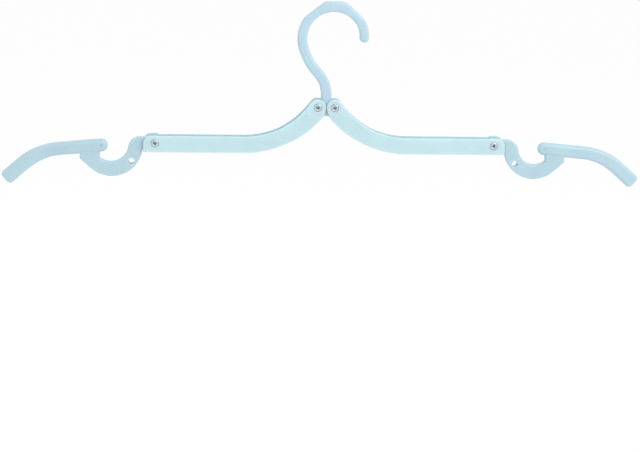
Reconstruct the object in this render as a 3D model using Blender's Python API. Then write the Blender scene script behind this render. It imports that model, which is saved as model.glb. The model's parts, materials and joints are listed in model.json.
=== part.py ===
# Folding travel hanger, built in metres with +Z up.
# The hanger lies in the XZ plane with its front towards -Y. The origin is the rail seat,
# inside the top of the hook, straight above the middle of the two centre rivets.

from math import acos, asin, atan2, ceil, cos, degrees, hypot, pi, radians, sin, sqrt, tan

import bmesh
import bpy

# Driving dimensions, all in metres
MM = 0.001

RUN_GAP = 0.3 * MM              # clearance between pieces that turn or rest on each other

PIVOT_SPACING = 11.0 * MM       # between the two centre rivets
ARM_STRAIGHT = 57.3 * MM        # straight part of an inner arm, from its outer rivet
ARM_BEND_RADIUS = 59.2 * MM     # of the rivet line through the rising part
ARM_BEND = 53.6                 # degrees that the inner arm rises by
ARM_DEPTH = 10.0 * MM           # outside, front to back
ARM_PLATE = 1.6 * MM            # side walls of the channel
ARM_WEB = 1.1 * MM              # floor of the channel
ARM_OPEN_SIDE = 4.6 * MM        # rivet line to the open edge
ARM_CLOSED_SIDE = 6.0 * MM      # rivet line to the closed edge
ARM_END_CLOSED = 6.6 * MM       # rivet line to the closed edge at the centre rivet
ARM_END_START = -20.0           # degrees, where the round end at the centre rivet begins
ARM_TAPER = 34.0 * MM           # stretch over which the arm's edges run to its round end
ARM_TAIL = 7.5 * MM             # plate beyond the outer rivet
ARM_TAIL_CORNER = 5.2 * MM      # rounding of the tail's open corner
ARM_LOBE_RISE = 0.8 * MM        # back plate round the outer rivet, above the open edge
ARM_RIM = 0.5 * MM              # rounding of the plates' rims

HOOK_INNER_RADIUS = 17.1 * MM
HOOK_BAR = 6.2 * MM             # width of the hook's bar, seen from the front
HOOK_TIP_BAR = 6.0 * MM
HOOK_NECK_BAR = 6.8 * MM
HOOK_TIP_SWELL = 26.0 * MM      # stretch over which the tip widens
HOOK_NECK_SWELL = 52.0 * MM     # stretch over which the neck widens
HOOK_EDGE = 1.9 * MM            # rounding of the bar's edges
HOOK_RISE = 44.3 * MM           # hook circle's centre, above the rivet line
HOOK_TIP_ANGLE = -3.0           # degrees, where the bar ends
HOOK_TIP_RADIUS = 17.0 * MM     # middle of the bar over its tip, which curls in a little
HOOK_TIP_TURN = 35.0
HOOK_LEAVE_ANGLE = 195.3        # degrees, where the bar leaves its circle
HOOK_EASE_RADIUS = 38.5 * MM    # from the circle into the neck
HOOK_EASE_TURN = 26.5
HOOK_NECK_RUN = 2.8 * MM
HOOK_NECK_RADIUS = 20.4 * MM    # where the neck turns straight down
HOOK_CROWN_RADIUS = 24.3 * MM   # outside of the thicker stretch at the top
HOOK_FLATS = ((48.2, 22.7 * MM), (90.0, 23.75 * MM), (128.3, 22.3 * MM))    # angle and reach

BASE_HUB = 4.2 * MM             # hook base round each centre rivet
KEEL_ANGLE = 60.0               # degrees below the rivet line of the keel's two sides
KEEL_DROP = 5.7 * MM            # rivet line to the bottom of the keel

NOTCH_OUT = 28.5 * MM           # centre of the clip notch, away from the outer rivet
NOTCH_DROP = 1.4 * MM
NOTCH_RADIUS = 11.4 * MM
NOTCH_WALL_SIDE = 6.9 * MM      # notch centre to the upright wall at its outer side
SHOULDER_RADIUS = 8.1 * MM      # between the rivet and the notch
SHOULDER_LEAN = 9.0             # degrees below level, where the shoulder runs into the notch
SHOULDER_END = 100.0            # degrees, where the shoulder runs to the hub
LOOP_BAND = 8.7 * MM            # material between the notch and the loop's outside
LOOP_BACK = 0.6 * MM            # centre of the loop's outside, from the notch's centre
LOOP_SINK = 0.8 * MM
LOOP_START = 188.0              # degrees on the loop's outside
CLIP_HUB_END = 255.0            # degrees round the hub, where the clip's underside leaves it
REST_SLOPE = 42.0               # degrees, straight side of the loop that meets the hook
REST_RUN = 6.95 * MM
CLIP_DEPTH = 5.0 * MM           # the clip's plate, thinner than the bar
CLIP_EDGE = 0.8 * MM
HUB_INSET = 1.1 * MM            # raised hub's rim, in from the clip's round end
CLIP_HOLE_INSET = 3.95 * MM     # from the loop's outside to the middle of the small hole
CLIP_HOLE_ANGLE = 217.9
CLIP_HOLE_RADIUS = 1.95 * MM

BAR_OVERHANG = 1.0 * MM         # centre of the bar's round inner end, in from the notch's wall
BAR_START_DROP = 2.2 * MM
BAR_START_WIDTH = 8.3 * MM
BAR_WIDTH = 8.5 * MM
BAR_SWELL = 16.0 * MM           # stretch over which the inner end widens
BAR_EDGE = 2.2 * MM
BAR_FALL = 5.4                  # degrees, slope of its straight part
BAR_STRAIGHT = 27.2 * MM
BAR_BEND_RADIUS = 40.8 * MM
BAR_BEND = 35.4                 # degrees of droop added by the bend
BAR_TIP_RUN = 15.9 * MM
BAR_TIP_WIDTH = 9.4 * MM
BAR_TIP_CORNER = 2.4 * MM

RIVET_SHANK_RADIUS = 1.45 * MM
RIVET_HEAD_RADIUS = 2.6 * MM
RIVET_HEAD_RISE = 1.2 * MM
RIVET_LIP_RADIUS = 2.2 * MM
RIVET_LIP = 0.55 * MM
RIVET_BORE_RADIUS = 0.95 * MM
RIVET_BORE_DEPTH = 3.0 * MM
RECESS_DEPTH = 0.7 * MM         # round recess in the front plate for the rolled lip
RECESS_MARGIN = 0.4 * MM        # recess beyond the lip

CUT_OVERRUN = 4.0 * MM          # how far every cutter runs past what it cuts
WELD = 0.001 * MM               # points nearer than this are one
ARC_STEP = 6.0                  # most degrees between points on a round stretch
ARC_CHORD = 3.2 * MM            # most length between them
ARC_LEAST = 0.4 * MM            # and least length between them on a small round
RUN_CHORD = 9.6 * MM            # most length between points on a straight run
LEAST_STEPS = 3
ROUND_SIDES = 24
EDGE_STEPS = 3                  # facets across a rounded edge
RIM_STEPS = 2                   # and across a small one
SHARP_ANGLE = 35.0              # degrees between faces that stay sharp

# Values that follow from them
CHANNEL_GAP = ARM_DEPTH - 2 * ARM_PLATE
INSERT_DEPTH = CHANNEL_GAP - 2 * RUN_GAP    # hook, outer arms' hubs and bars, all fit the channel
HOLE_RADIUS = RIVET_SHANK_RADIUS + RUN_GAP
RECESS_RADIUS = RIVET_LIP_RADIUS + RECESS_MARGIN
ARM_END_RADIUS = (PIVOT_SPACING - RUN_GAP) / 2
ARM_LOBE_RADIUS = ARM_OPEN_SIDE + ARM_LOBE_RISE
ARM_IN = ARM_STRAIGHT + ARM_BEND_RADIUS * sin(radians(ARM_BEND))
ARM_UP = ARM_BEND_RADIUS * (1 - cos(radians(ARM_BEND)))
ARM_FLOOR = ARM_CLOSED_SIDE - ARM_WEB
KEEL_LEAN = KEEL_ANGLE + ARM_BEND - 90      # degrees between the keel's side and square to the arm
TIP_HUB = ARM_FLOOR - 2 * RUN_GAP           # outer arm round its rivet
NOTCH_CENTRE = (NOTCH_OUT, -NOTCH_DROP)
NOTCH_WALL_OUT = NOTCH_OUT + NOTCH_WALL_SIDE
LOOP_CENTRE = (NOTCH_OUT - LOOP_BACK, -NOTCH_DROP - LOOP_SINK)
LOOP_RADIUS = NOTCH_RADIUS + LOOP_BAND
BAR_START = (NOTCH_WALL_OUT - BAR_OVERHANG, -BAR_START_DROP)
HOOK_RADIUS = HOOK_INNER_RADIUS + HOOK_BAR / 2      # middle of the bar
HOOK_TIP_END = HOOK_TIP_ANGLE + HOOK_TIP_TURN           # where the curled tip joins the circle
HOOK_NECK_ANGLE = HOOK_LEAVE_ANGLE + HOOK_EASE_TURN

# Hook circle's centre, to the right of the middle, so that the neck ends on the middle
HOOK_SIDE = ((HOOK_EASE_RADIUS - HOOK_RADIUS) * cos(radians(HOOK_LEAVE_ANGLE))
             - (HOOK_EASE_RADIUS + HOOK_NECK_RADIUS) * cos(radians(HOOK_NECK_ANGLE))
             + HOOK_NECK_RUN * sin(radians(HOOK_NECK_ANGLE)) - HOOK_NECK_RADIUS)
RIVET_LINE_DROP = HOOK_RISE + sqrt(HOOK_INNER_RADIUS ** 2 - HOOK_SIDE ** 2)

SKY_BLUE = (0.56, 0.79, 0.84, 1)
PALE_BLUE = (0.48, 0.67, 0.76, 1)
STEEL = (0.72, 0.72, 0.73, 1)


# Plane geometry: a point is (x, z)
def polar(centre, radius, angle):
    return (centre[0] + radius * cos(radians(angle)), centre[1] + radius * sin(radians(angle)))


def arc(centre, radius, start, end):
    """Points on a circle from one angle to another, both included."""
    span = abs(end - start)
    length = radius * radians(span)
    fine = min(span / ARC_STEP, length / ARC_LEAST)
    count = ceil(max(LEAST_STEPS, fine, length / ARC_CHORD))
    return [polar(centre, radius, start + (end - start) * i / count) for i in range(count + 1)]


def track(start, heading, legs):
    """A path of straight runs and arcs, as (x, z, heading, length so far).

    A leg is (length, 0, 0), or (0, radius, degrees turned to the left).
    """
    x, z = start
    travelled = 0
    path = [(x, z, heading, travelled)]
    for length, radius, turn in legs:
        reach = length + radius * radians(abs(turn))
        chord = ARC_CHORD if turn else RUN_CHORD
        steps = ceil(max(LEAST_STEPS, abs(turn) / ARC_STEP, reach / chord))
        swing = turn / steps
        stride = 2 * radius * sin(radians(abs(swing)) / 2) if turn else length / steps
        for i in range(steps):
            x += stride * cos(radians(heading + swing / 2))
            z += stride * sin(radians(heading + swing / 2))
            heading += swing
            travelled += reach / steps
            path.append((x, z, heading, travelled))
    return path


def beside(point, distance):
    """A point to the left of the path for a positive distance, to the right for a negative."""
    x, z, heading, travelled = point
    return (x - distance * sin(radians(heading)), z + distance * cos(radians(heading)))


def blend(start, end, share):
    """From start to end as share goes from 0 to 1, easing in and out."""
    share = min(1, max(0, share))
    return start + (end - start) * share * share * (3 - 2 * share)


def mirrored(points, side):
    """The outline as it is for a side of 1, or its mirror image for -1."""
    return [(side * x, z) for x, z in points]


# Blender helpers
def clear_scene():
    for item in list(bpy.data.objects):
        bpy.data.objects.remove(item, do_unlink=True)


def plastic(name, colour, roughness, metallic):
    material = bpy.data.materials.new(name)
    material.use_nodes = True
    shader = material.node_tree.nodes["Principled BSDF"]
    shader.inputs["Base Color"].default_value = colour
    shader.inputs["Roughness"].default_value = roughness
    shader.inputs["Metallic"].default_value = metallic
    return material


def prism(points, front, back, edge=0, segments=EDGE_STEPS):
    """A closed solid from front to back in Y, with its rims rounded.

    It is drawn in millimetres and then brought to metres, because the rounding
    merges points by a fixed distance that is coarse for a piece drawn in metres.
    """
    area = sum(a[0] * b[1] - b[0] * a[1] for a, b in zip(points, points[1:] + points[:1]))
    ordered = points if area > 0 else points[::-1]
    shape = bmesh.new()
    corners = [shape.verts.new((x / MM, front / MM, z / MM)) for x, z in ordered]
    grown = bmesh.ops.extrude_face_region(shape, geom=[shape.faces.new(corners)])
    moved = [item for item in grown["geom"] if isinstance(item, bmesh.types.BMVert)]
    bmesh.ops.translate(shape, verts=moved, vec=(0, (back - front) / MM, 0))
    bmesh.ops.recalc_face_normals(shape, faces=shape.faces[:])
    if edge:
        rims = [item for item in shape.edges if item.verts[0].co.y == item.verts[1].co.y]
        bmesh.ops.bevel(shape, geom=rims, offset=edge / MM, segments=segments, profile=0.5,
                        affect="EDGES")
    bmesh.ops.scale(shape, verts=shape.verts[:], vec=(MM, MM, MM))
    return shape


def turned_profile(profile):
    """A solid turned round the Y axis from (radius, y) points that start and end on it."""
    shape = bmesh.new()
    line = [shape.verts.new((radius, y, 0)) for radius, y in profile]
    edges = [shape.edges.new(pair) for pair in zip(line, line[1:])]
    bmesh.ops.spin(shape, geom=line + edges, cent=(0, 0, 0), axis=(0, 1, 0), dvec=(0, 0, 0),
                   angle=2 * pi, steps=ROUND_SIDES, use_merge=True)
    bmesh.ops.remove_doubles(shape, verts=shape.verts[:], dist=WELD)
    bmesh.ops.recalc_face_normals(shape, faces=shape.faces[:])
    return shape


def add_object(name, shape, material=None, location=(0, 0, 0), parent=None):
    mesh = bpy.data.meshes.new(name)
    shape.to_mesh(mesh)
    shape.free()
    item = bpy.data.objects.new(name, mesh)
    bpy.context.scene.collection.objects.link(item)
    item.location = location
    item.parent = parent
    if material:
        mesh.materials.append(material)
        mesh.shade_smooth()
        mesh.set_sharp_from_angle(angle=radians(SHARP_ANGLE))
    return item


def boolean(item, shape, label, operation):
    """Cut a shape from an object, or join it on. The tool stays as a hidden guide."""
    tool = add_object(f"{item.name}.{label}", shape, parent=item)
    tool.hide_render = True
    tool.display_type = "WIRE"
    step = item.modifiers.new(label, "BOOLEAN")
    step.operation = operation
    step.solver = "EXACT"
    step.object = tool


def round_bar(centre, radius, front, back):
    rim = [polar(centre, radius, 360 * i / ROUND_SIDES) for i in range(ROUND_SIDES)]
    return prism(rim, front, back)


def through(centre, radius, depth):
    """A cutter for a round hole right through this depth."""
    return round_bar(centre, radius, -depth / 2 - CUT_OVERRUN, depth / 2 + CUT_OVERRUN)


# Hook with its base, one moulding
def hook_path():
    """The middle of the hook's bar, from its tip round to the top of the base."""
    curl = polar((HOOK_SIDE, HOOK_RISE), HOOK_RADIUS - HOOK_TIP_RADIUS, HOOK_TIP_END)
    start = polar(curl, HOOK_TIP_RADIUS, HOOK_TIP_ANGLE)
    legs = [(0, HOOK_TIP_RADIUS, HOOK_TIP_TURN), (0, HOOK_RADIUS, HOOK_LEAVE_ANGLE - HOOK_TIP_END),
            (0, HOOK_EASE_RADIUS, HOOK_EASE_TURN), (HOOK_NECK_RUN, 0, 0),
            (0, HOOK_NECK_RADIUS, 180 - HOOK_NECK_ANGLE)]
    neck_end = track(start, 90 + HOOK_TIP_ANGLE, legs)[-1]
    return track(start, 90 + HOOK_TIP_ANGLE, legs + [(neck_end[1] - BASE_HUB, 0, 0)])


def hook_outline():
    centre = (HOOK_SIDE, HOOK_RISE)
    path = hook_path()
    inside = []
    outside = []
    for point in path:
        to_base = path[-1][3] - point[3]
        width = blend(HOOK_TIP_BAR, HOOK_BAR, point[3] / HOOK_TIP_SWELL)
        width = blend(HOOK_NECK_BAR, width, to_base / HOOK_NECK_SWELL)
        inside.append(beside(point, width / 2))
        outside.append(on_crown(beside(point, -width / 2), centre))
    tip = arc(path[0][:2], HOOK_TIP_BAR / 2, HOOK_TIP_ANGLE - 180, HOOK_TIP_ANGLE)
    return inside[::-1] + tip[1:-1] + outside


def on_crown(point, centre):
    """Bring a point on the hook's outside out to the crown, then in to the nearest flat."""
    x, z = point[0] - centre[0], point[1] - centre[1]
    if HOOK_FLATS[0][0] < degrees(atan2(z, x)) < HOOK_FLATS[-1][0]:
        grow = HOOK_CROWN_RADIUS / hypot(x, z)
        x, z = x * grow, z * grow
    for angle, flat in HOOK_FLATS:
        reach = x * cos(radians(angle)) + z * sin(radians(angle))
        if reach > flat:
            x, z = x * flat / reach, z * flat / reach
    return (centre[0] + x, centre[1] + z)


def base_side(side):
    """Base outline on one side, from its top round the rivet to the keel's corner."""
    pivot = (PIVOT_SPACING / 2, 0)
    keel = 180 + KEEL_ANGLE
    along = (KEEL_DROP + RUN_GAP * cos(radians(KEEL_ANGLE))) / sin(radians(KEEL_ANGLE))
    foot = polar(pivot, hypot(along, RUN_GAP), keel - degrees(atan2(RUN_GAP, along)))
    hub_end = keel - degrees(asin(RUN_GAP / BASE_HUB)) - 360
    return mirrored(arc(pivot, BASE_HUB, 90, hub_end) + [foot], side)


def make_hook(material):
    outline = hook_outline() + base_side(-1) + base_side(1)[::-1]
    shape = prism(outline, -INSERT_DEPTH / 2, INSERT_DEPTH / 2, HOOK_EDGE)
    for vertex in shape.verts:
        vertex.co.z -= RIVET_LINE_DROP
    hook = add_object("hook", shape, material)
    for label, side in (("left_hole", -1), ("right_hole", 1)):
        centre = (side * PIVOT_SPACING / 2, -RIVET_LINE_DROP)
        boolean(hook, through(centre, HOLE_RADIUS, INSERT_DEPTH), label, "DIFFERENCE")


# Inner arms, each a channel open at its upper side, drawn for the left arm from its centre rivet
def arm_edge(inner_offset, plain_offset, stop_short=0):
    """Points beside the rivet line, from the outer rivet towards the centre rivet."""
    legs = [(ARM_STRAIGHT, 0, 0), (0, ARM_BEND_RADIUS, ARM_BEND)]
    path = track((-ARM_IN, -ARM_UP), 0, legs)
    whole = path[-1][3]
    edge = []
    for point in path:
        left = whole - point[3]
        if left < stop_short:
            continue
        edge.append(beside(point, blend(inner_offset, plain_offset, left / ARM_TAPER)))
    return edge


def keel_corner(offset):
    """Where an edge at this offset from the rivet line meets the line of the keel's side."""
    return polar((0, 0), offset / cos(radians(KEEL_LEAN)), -KEEL_ANGLE)


def arm_outline():
    short = ARM_END_CLOSED * tan(radians(KEEL_LEAN)) + ARC_CHORD / 2
    closed = arm_edge(-ARM_END_CLOSED, -ARM_CLOSED_SIDE, short)
    open_edge = arm_edge(ARM_END_RADIUS, ARM_OPEN_SIDE)
    round_end = arc((0, 0), ARM_END_RADIUS, ARM_END_START, ARM_BEND + 90)
    pivot = (-ARM_IN, -ARM_UP)
    foot = sqrt(ARM_LOBE_RADIUS ** 2 - ARM_OPEN_SIDE ** 2)
    lobe = arc(pivot, ARM_LOBE_RADIUS, degrees(asin(ARM_OPEN_SIDE / ARM_LOBE_RADIUS)), 90)
    corner = (pivot[0] - ARM_TAIL + ARM_TAIL_CORNER, pivot[1] + ARM_LOBE_RADIUS - ARM_TAIL_CORNER)
    tail = arc(corner, ARM_TAIL_CORNER, 90, 180)
    heel = [(pivot[0] - ARM_TAIL, pivot[1] - ARM_CLOSED_SIDE)]
    upper = [point for point in open_edge[-2::-1] if point[0] > pivot[0] + foot + ARC_CHORD / 2]
    return closed[1:] + [keel_corner(ARM_END_CLOSED)] + round_end + upper + lobe + tail + heel


def web_start_out():
    """How far past the outer rivet the floor reaches, where it stops the outer arm."""
    hub_x, hub_z = clip_heel()[0]
    loop_x, loop_z = clip_heel()[1]
    slope = atan2(hub_z - loop_z, loop_x - hub_x)
    return hub_x + (ARM_FLOOR + hub_z - RUN_GAP / cos(slope)) / tan(slope)


def channel_outline():
    """The space between the side walls, run out past every open side of the channel."""
    short = ARM_END_CLOSED * tan(radians(KEEL_LEAN)) + ARC_CHORD / 2
    floor = arm_edge(ARM_WEB - ARM_END_CLOSED, ARM_WEB - ARM_CLOSED_SIDE, short)[1:]
    start = (-ARM_IN - web_start_out(), -ARM_UP - ARM_FLOOR)
    below = start[1] - ARM_WEB - CUT_OVERRUN
    above = ARM_END_RADIUS + CUT_OVERRUN
    past_keel = keel_corner(ARM_END_CLOSED + CUT_OVERRUN)
    past_tail = -ARM_IN - ARM_TAIL - CUT_OVERRUN
    return [start] + floor + [keel_corner(ARM_END_CLOSED - ARM_WEB), past_keel,
            (above, past_keel[1]), (above, above), (past_tail, above), (past_tail, below),
            (start[0], below)]


def make_arm(name, side, material):
    location = (side * PIVOT_SPACING / 2, 0, -RIVET_LINE_DROP)
    outline = mirrored(arm_outline(), -side)
    shape = prism(outline, -ARM_DEPTH / 2, ARM_DEPTH / 2, ARM_RIM, RIM_STEPS)
    arm = add_object(name, shape, material, location)
    channel = prism(mirrored(channel_outline(), -side), -CHANNEL_GAP / 2, CHANNEL_GAP / 2)
    boolean(arm, channel, "channel", "DIFFERENCE")
    outer = (side * ARM_IN, -ARM_UP)
    front_top = outer[1] + ARM_OPEN_SIDE
    reach = ARM_TAIL + CUT_OVERRUN
    front_lobe = [(outer[0] - reach, front_top), (outer[0] + reach, front_top),
                  (outer[0] + reach, front_top + reach), (outer[0] - reach, front_top + reach)]
    before_front = -ARM_DEPTH / 2 - CUT_OVERRUN
    recess_back = RECESS_DEPTH - ARM_DEPTH / 2
    boolean(arm, prism(front_lobe, before_front, 0), "front_lobe", "DIFFERENCE")
    for label, centre in (("centre", (0, 0)), ("outer", outer)):
        boolean(arm, through(centre, HOLE_RADIUS, ARM_DEPTH), f"{label}_hole", "DIFFERENCE")
        recess = round_bar(centre, RECESS_RADIUS, before_front, recess_back)
        boolean(arm, recess, f"{label}_recess", "DIFFERENCE")
    return arm


# Outer arms, each a bar with a clip below it, drawn for the right side from its rivet
def clip_heel():
    """The straight stretch under the clip's hub, from the hub to the loop."""
    return [polar((0, 0), TIP_HUB, CLIP_HUB_END), polar(LOOP_CENTRE, LOOP_RADIUS, LOOP_START)]


def bar_height(out):
    """The middle of the bar's straight part, at a distance from the rivet."""
    return BAR_START[1] - (out - BAR_START[0]) * tan(radians(BAR_FALL))


def clip_outline():
    hub = arc((0, 0), TIP_HUB, 90, CLIP_HUB_END)
    loop = arc(LOOP_CENTRE, LOOP_RADIUS, LOOP_START, 270 + REST_SLOPE)
    rest_out = loop[-1][0] + REST_RUN
    rest_end = (rest_out, loop[-1][1] + REST_RUN * tan(radians(REST_SLOPE)))
    in_bar = [(rest_out, bar_height(rest_out)), (NOTCH_WALL_OUT, bar_height(NOTCH_WALL_OUT))]
    wall = -degrees(acos(NOTCH_WALL_SIDE / NOTCH_RADIUS))
    notch = arc(NOTCH_CENTRE, NOTCH_RADIUS, wall, SHOULDER_LEAN - 180)
    shoulder_centre = polar(NOTCH_CENTRE, NOTCH_RADIUS + SHOULDER_RADIUS, SHOULDER_LEAN - 180)
    shoulder = arc(shoulder_centre, SHOULDER_RADIUS, SHOULDER_LEAN, SHOULDER_END)
    return hub + loop + [rest_end] + in_bar + notch + shoulder[1:]


def bar_outline():
    legs = [(BAR_STRAIGHT, 0, 0), (0, BAR_BEND_RADIUS, -BAR_BEND), (BAR_TIP_RUN, 0, 0)]
    path = track(BAR_START, -BAR_FALL, legs)
    bend_length = BAR_BEND_RADIUS * radians(BAR_BEND)
    upper = []
    lower = []
    for point in path[:-1]:
        width = blend(BAR_START_WIDTH, BAR_WIDTH, point[3] / BAR_SWELL)
        width = blend(width, BAR_TIP_WIDTH, (point[3] - BAR_STRAIGHT) / bend_length)
        upper.append(beside(point, width / 2))
        lower.append(beside(point, -width / 2))
    x, z, heading, travelled = path[-1]
    back = (x - BAR_TIP_CORNER * cos(radians(heading)), z - BAR_TIP_CORNER * sin(radians(heading)),
            heading, travelled)
    inset = BAR_TIP_WIDTH / 2 - BAR_TIP_CORNER
    tip = arc(beside(back, -inset), BAR_TIP_CORNER, heading - 90, heading)
    tip += arc(beside(back, inset), BAR_TIP_CORNER, heading, heading + 90)
    round_end = arc(BAR_START, BAR_START_WIDTH / 2, 90 - BAR_FALL, 270 - BAR_FALL)
    return round_end[:-1] + lower + tip + upper[:0:-1]


def make_outer_arm(name, side, material, parent):
    location = (side * ARM_IN, 0, -ARM_UP)
    outline = mirrored(clip_outline(), side)
    clip = prism(outline, -CLIP_DEPTH / 2, CLIP_DEPTH / 2, CLIP_EDGE, RIM_STEPS)
    outer = add_object(name, clip, material, location, parent)
    bar = prism(mirrored(bar_outline(), side), -INSERT_DEPTH / 2, INSERT_DEPTH / 2, BAR_EDGE)
    boolean(outer, bar, "bar", "UNION")
    hub = round_bar((0, 0), TIP_HUB - HUB_INSET, -INSERT_DEPTH / 2, INSERT_DEPTH / 2)
    boolean(outer, hub, "hub", "UNION")
    small_hole = polar(LOOP_CENTRE, LOOP_RADIUS - CLIP_HOLE_INSET, CLIP_HOLE_ANGLE)
    cuts = [("rivet_hole", (0, 0), HOLE_RADIUS), ("clip_hole", small_hole, CLIP_HOLE_RADIUS)]
    for label, centre, radius in cuts:
        cutter = through((side * centre[0], centre[1]), radius, INSERT_DEPTH)
        boolean(outer, cutter, label, "DIFFERENCE")


# Rivets, with a domed head at the back and a rolled, hollow end in front
def rivet_profile():
    head_seat = ARM_DEPTH / 2 + RUN_GAP
    dome_radius = (RIVET_HEAD_RADIUS ** 2 + RIVET_HEAD_RISE ** 2) / (2 * RIVET_HEAD_RISE)
    dome_low = head_seat + RIVET_HEAD_RISE - dome_radius
    spread = degrees(asin(RIVET_HEAD_RADIUS / dome_radius))
    dome = arc((0, dome_low), dome_radius, 90, 90 - spread)
    lip_back = RECESS_DEPTH - ARM_DEPTH / 2 - RUN_GAP
    lip_front = lip_back - RIVET_LIP
    round_over = RIVET_LIP / 2
    lip = [(RIVET_SHANK_RADIUS, head_seat), (RIVET_SHANK_RADIUS, lip_back)]
    lip += arc((RIVET_LIP_RADIUS - round_over, lip_back - round_over), round_over, 90, -90)
    mouth = (RIVET_BORE_RADIUS + round_over, lip_front + round_over)
    lip += arc(mouth, round_over, 270, 180)
    bore_end = lip_front + RIVET_BORE_DEPTH
    return dome + lip + [(RIVET_BORE_RADIUS, bore_end), (0, bore_end + RIVET_BORE_RADIUS)]


def make_rivet(name, location, material, parent):
    add_object(name, turned_profile(rivet_profile()), material, location, parent)


def build():
    clear_scene()
    arm_plastic = plastic("inner_arm_plastic", SKY_BLUE, 0.38, 0)
    hook_plastic = plastic("hook_plastic", PALE_BLUE, 0.35, 0)
    tip_plastic = plastic("outer_arm_plastic", PALE_BLUE, 0.35, 0)
    steel = plastic("rivet_steel", STEEL, 0.28, 1)
    make_hook(hook_plastic)
    for label, side in (("left", -1), ("right", 1)):
        arm = make_arm(f"{label}_inner_arm", side, arm_plastic)
        make_outer_arm(f"{label}_outer_arm", side, tip_plastic, arm)
        make_rivet(f"{label}_centre_rivet", (0, 0, 0), steel, arm)
        make_rivet(f"{label}_outer_rivet", (side * ARM_IN, 0, -ARM_UP), steel, arm)


build()
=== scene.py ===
# %% [markdown]
# # A folding travel hanger, dressed for its picture
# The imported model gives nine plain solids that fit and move. This lesson dresses each of them in a
# smooth moulding or a turned rivet, gives every surface its finish, and sets up the studio.
# Every new piece is drawn in millimetres round its own rivet, because Blender's bevels and
# Booleans work best on sizes near one, and is brought to metres and to its place at the end.

# %% Load the fixed frame
import json
from math import acos, asin, atan2, ceil, cos, degrees, hypot, pi, radians, sin, sqrt, tan

import bpy
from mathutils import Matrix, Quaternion, Vector


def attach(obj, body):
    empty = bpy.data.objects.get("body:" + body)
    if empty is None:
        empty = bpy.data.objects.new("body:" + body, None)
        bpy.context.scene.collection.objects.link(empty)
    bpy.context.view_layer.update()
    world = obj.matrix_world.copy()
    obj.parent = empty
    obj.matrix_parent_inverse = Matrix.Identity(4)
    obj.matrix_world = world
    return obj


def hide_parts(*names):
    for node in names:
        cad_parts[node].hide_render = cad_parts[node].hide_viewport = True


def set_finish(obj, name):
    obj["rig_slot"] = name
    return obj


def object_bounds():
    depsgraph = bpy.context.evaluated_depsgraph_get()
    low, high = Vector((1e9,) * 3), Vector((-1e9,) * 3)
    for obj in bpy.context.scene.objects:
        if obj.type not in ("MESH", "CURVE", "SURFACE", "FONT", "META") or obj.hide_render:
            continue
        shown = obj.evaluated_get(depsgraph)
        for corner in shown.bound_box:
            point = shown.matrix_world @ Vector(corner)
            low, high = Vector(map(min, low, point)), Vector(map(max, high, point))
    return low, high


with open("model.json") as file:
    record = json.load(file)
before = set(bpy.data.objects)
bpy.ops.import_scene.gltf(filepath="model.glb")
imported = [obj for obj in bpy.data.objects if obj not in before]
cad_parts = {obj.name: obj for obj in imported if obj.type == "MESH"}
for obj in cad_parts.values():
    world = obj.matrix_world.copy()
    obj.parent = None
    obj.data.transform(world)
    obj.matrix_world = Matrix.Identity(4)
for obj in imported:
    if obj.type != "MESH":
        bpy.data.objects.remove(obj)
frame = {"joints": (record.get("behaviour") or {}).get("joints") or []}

cad_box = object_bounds()
low, high = ([round(v, 4) for v in corner] for corner in cad_box)
print("the solids reach from", low, "to", high)

# %% [markdown]
# The four joints say where the rivets are. Everything on an arm is drawn from its rivet, so these
# points, turned to millimetres, are all that ties the drawings to the frame. From here on every
# length is in millimetres and every angle in degrees, unless its comment says otherwise.

# %% Where the rivets are
METRE = 1000.0
SIDES = {"left": -1, "right": 1}
PIVOTS = {}
for joint in frame["joints"]:
    PIVOTS[joint["name"]] = Vector(joint["pos_m"]) * METRE
CENTRE_PIVOT = {side: PIVOTS[f"{side}_arm_fold"] for side in SIDES}
OUTER_PIVOT = {side: PIVOTS[f"{side}_tip_fold"] for side in SIDES}
PIVOT_SPACING = (CENTRE_PIVOT["right"] - CENTRE_PIVOT["left"]).length
RIVET_LINE = CENTRE_PIVOT["right"].z
ARM_IN = OUTER_PIVOT["right"].x - CENTRE_PIVOT["right"].x
ARM_UP = CENTRE_PIVOT["right"].z - OUTER_PIVOT["right"].z
print(f"centre rivets {PIVOT_SPACING:.2f} mm apart")
print(f"outer rivets {ARM_IN:.2f} mm further out and {ARM_UP:.2f} mm lower")

# %% [markdown]
# ## Drawing in the plane of the hanger
# A moulder draws such a part as outlines in one plane, made of straight runs and arcs. The same is
# done here: a point is (x, z), an arc is a list of points every few degrees, and a track walks
# along runs and arcs like a pen. The steps are finer than the solids' own, so no facet shows.

# %% Points, arcs and tracks
ARC_STEP = 3.0                      # between points on a round stretch
RUN_STEP = 2.0                      # between points where a width changes along a run


def polar(centre, radius, angle):
    """The point at this angle, anticlockwise from +X, on a circle."""
    return (centre[0] + radius * cos(radians(angle)), centre[1] + radius * sin(radians(angle)))


def arc(centre, radius, start, end):
    count = ceil(abs(end - start) / ARC_STEP)
    return [polar(centre, radius, start + (end - start) * i / count) for i in range(count + 1)]


def track(start, heading, legs):
    """A path as (x, z, heading, length so far).

    A leg is (length, 0, 0) for a run or (0, radius, turn to the left) for an arc.
    """
    x, z = start
    travelled = 0
    path = [(x, z, heading, travelled)]
    for length, radius, turn in legs:
        reach = length + radius * radians(abs(turn))
        steps = ceil(abs(turn) / ARC_STEP) if turn else ceil(length / RUN_STEP)
        swing = turn / steps
        stride = 2 * radius * sin(radians(abs(swing)) / 2) if turn else length / steps
        for _ in range(steps):
            x += stride * cos(radians(heading + swing / 2))
            z += stride * sin(radians(heading + swing / 2))
            heading += swing
            travelled += reach / steps
            path.append((x, z, heading, travelled))
    return path


def beside(point, distance):
    """The point at a distance to the left of a track."""
    x, z, heading, _ = point
    return (x - distance * sin(radians(heading)), z + distance * cos(radians(heading)))


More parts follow.
